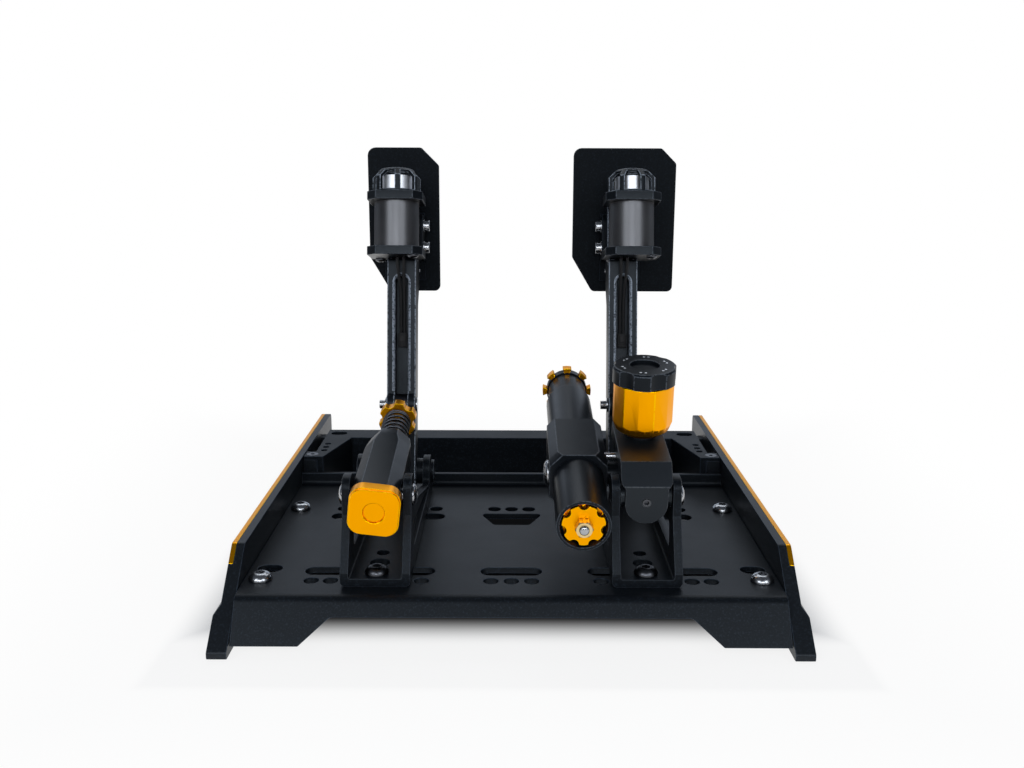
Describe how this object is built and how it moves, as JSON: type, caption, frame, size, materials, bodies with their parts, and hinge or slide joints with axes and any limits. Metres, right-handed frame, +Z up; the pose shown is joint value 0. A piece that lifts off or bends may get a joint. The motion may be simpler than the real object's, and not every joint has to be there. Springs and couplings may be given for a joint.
{
  "type": "sim racing pedal set",
  "caption": "Low steel base with a throttle unit on a spring rod and a hydraulic brake unit, each pedal arm with a plate and a vibration motor.",
  "frame": {"origin": "on the floor under the middle of the side plates", "axes": "+X across the base with the brake unit, +Y from the cylinders towards the driver, +Z up"},
  "size_m": [0.339, 0.362, 0.2775],
  "materials": {
    "black_coat": "fine satin powder coat",
    "black_metal": "satin black anodised",
    "amber_metal": "satin orange anodised",
    "bright_steel": "bright steel",
    "dark_steel": "blackened steel",
    "soft_black": "matt rubber"
  },
  "bodies": {
    "base": {"deck_plate": "black_coat", "left_side_plate": "black_coat", "right_side_plate": "black_coat", "trim_strips": "amber_metal", "foot_pads": "soft_black", "deck_bolts": "bright_steel", "front_crossbar": "black_coat", "crossbar_screws": "dark_steel", "throttle_bracket": "black_coat", "throttle_bracket_bolts": "dark_steel", "throttle_trunnion_bolts": "bright_steel", "throttle_pivot_bushes": "black_metal", "brake_bracket": "black_coat", "brake_bracket_bolts": "dark_steel", "brake_trunnion_bolts": "bright_steel", "brake_pivot_bushes": "black_metal", "throttle_sensor": "black_metal"},
    "throttle_pedal": {"throttle_arm": "black_metal", "throttle_pivot_axle": "black_metal", "throttle_clevis_pin": "bright_steel", "throttle_motor_can": "black_metal", "throttle_motor_flanges": "black_metal", "throttle_motor_cage": "black_metal", "throttle_motor_screws": "bright_steel", "throttle_pedal_plate": "black_coat", "throttle_plate_mount": "black_coat", "throttle_mount_screws": "bright_steel", "throttle_motor_lead": "soft_black"},
    "throttle_mass": {"throttle_eccentric_mass": "bright_steel"},
    "throttle_cylinder": {"throttle_tube": "black_metal", "throttle_spring": "dark_steel"},
    "throttle_knob": {"throttle_end_knob": "amber_metal"},
    "throttle_push_rod": {"throttle_rod": "dark_steel"},
    "throttle_nut": {"throttle_star_nut": "amber_metal"},
    "brake_pedal": {"brake_arm": "black_metal", "brake_pivot_axle": "black_metal", "brake_clevis_pin": "bright_steel", "brake_motor_can": "black_metal", "brake_motor_flanges": "black_metal", "brake_motor_cage": "black_metal", "brake_motor_screws": "bright_steel", "brake_pedal_plate": "black_coat", "brake_plate_mount": "black_coat", "brake_mount_screws": "bright_steel", "brake_motor_lead": "soft_black"},
    "brake_mass": {"brake_eccentric_mass": "bright_steel"},
    "brake_cylinder": {"brake_master_cylinder": "black_metal", "brake_gland": "bright_steel", "brake_pressure_sensor": "dark_steel", "brake_reservoir_cup": "amber_metal", "brake_slave_cylinder": "black_metal", "brake_link_fittings": "bright_steel", "brake_preload_stud": "bright_steel", "brake_elastomer_stack": "soft_black", "brake_end_collar": "black_metal"},
    "brake_rod": {"brake_push_rod": "dark_steel"},
    "brake_cap": {"brake_reservoir_cap": "black_metal"},
    "brake_knob": {"brake_preload_knob": "amber_metal"},
    "brake_wheel": {"brake_far_wheel": "amber_metal"},
    "brake_piston": {"brake_slave_piston": "dark_steel"}
  },
  "joints": [
    {"name": "throttle_pedal_hinge", "type": "hinge", "parent": "base", "child": "throttle_pedal", "pos_m": [-0.079, 0.014, 0.05], "axis": [1, 0, 0], "range_deg": [0, 18], "stiffness_Nm_per_rad": 9.4, "springref_deg": -5.73},
    {"name": "throttle_mass_spin", "type": "hinge", "parent": "throttle_pedal", "child": "throttle_mass", "pos_m": [-0.0818, 0.04199, 0.25175], "axis": [0, 0.2181, 0.9759], "continuous": true},
    {"name": "throttle_cylinder_tilt", "type": "hinge", "parent": "base", "child": "throttle_cylinder", "pos_m": [-0.079, -0.122, 0.078], "axis": [1, 0, 0], "range_deg": [0, 0.8]},
    {"name": "throttle_knob_turn", "type": "hinge", "parent": "throttle_cylinder", "child": "throttle_knob", "pos_m": [-0.079, -0.13685, 0.07587], "axis": [0, 0.9899, 0.1419], "continuous": true},
    {"name": "throttle_rod_slide", "type": "slide", "parent": "throttle_cylinder", "child": "throttle_push_rod", "axis": [0, 0.9899, 0.1419], "range_m": [-0.0154, 0], "deforming": ["throttle_spring"]},
    {"name": "throttle_nut_turn", "type": "hinge", "parent": "throttle_push_rod", "child": "throttle_nut", "pos_m": [-0.079, -0.00816, 0.09431], "axis": [0, 0.9899, 0.1419], "continuous": true},
    {"name": "brake_pedal_hinge", "type": "hinge", "parent": "base", "child": "brake_pedal", "pos_m": [0.079, 0.014, 0.05], "axis": [1, 0, 0], "range_deg": [0, 10], "stiffness_Nm_per_rad": 60, "springref_deg": -1.72},
    {"name": "brake_mass_spin", "type": "hinge", "parent": "brake_pedal", "child": "brake_mass", "pos_m": [0.084, 0.04199, 0.25175], "axis": [0, 0.2181, 0.9759], "continuous": true},
    {"name": "brake_cylinder_tilt", "type": "hinge", "parent": "base", "child": "brake_cylinder", "pos_m": [0.079, -0.122, 0.078], "axis": [1, 0, 0], "range_deg": [0, 0.65]},
    {"name": "brake_rod_slide", "type": "slide", "parent": "brake_cylinder", "child": "brake_rod", "axis": [0, 0.9899, 0.1419], "range_m": [-0.0086, 0]},
    {"name": "brake_cap_turn", "type": "hinge", "parent": "brake_cylinder", "child": "brake_cap", "pos_m": [0.0804, -0.09071, 0.14512], "axis": [0, -0.1419, 0.9899], "continuous": true},
    {"name": "brake_knob_turn", "type": "hinge", "parent": "brake_cylinder", "child": "brake_knob", "pos_m": [0.0405, -0.15566, 0.07318], "axis": [0, 0.9899, 0.1419], "continuous": true},
    {"name": "brake_wheel_turn", "type": "hinge", "parent": "brake_cylinder", "child": "brake_wheel", "pos_m": [0.0405, 0.04826, 0.1024], "axis": [0, 0.9899, 0.1419], "continuous": true},
    {"name": "brake_piston_slide", "type": "slide", "parent": "brake_cylinder", "child": "brake_piston", "axis": [0, 0.9899, 0.1419], "range_m": [-0.004, 0], "deforming": ["brake_elastomer_stack"]}
  ],
  "couplings": [
    {"joint": "throttle_cylinder_tilt", "follows": "throttle_pedal_hinge", "ratio": 0.04},
    {"joint": "throttle_rod_slide", "follows": "throttle_pedal_hinge", "m_per_rad": -0.0479},
    {"joint": "brake_cylinder_tilt", "follows": "brake_pedal_hinge", "ratio": 0.059},
    {"joint": "brake_rod_slide", "follows": "brake_pedal_hinge", "m_per_rad": -0.0477},
    {"joint": "brake_piston_slide", "follows": "brake_pedal_hinge", "m_per_rad": -0.0212}
  ]
}
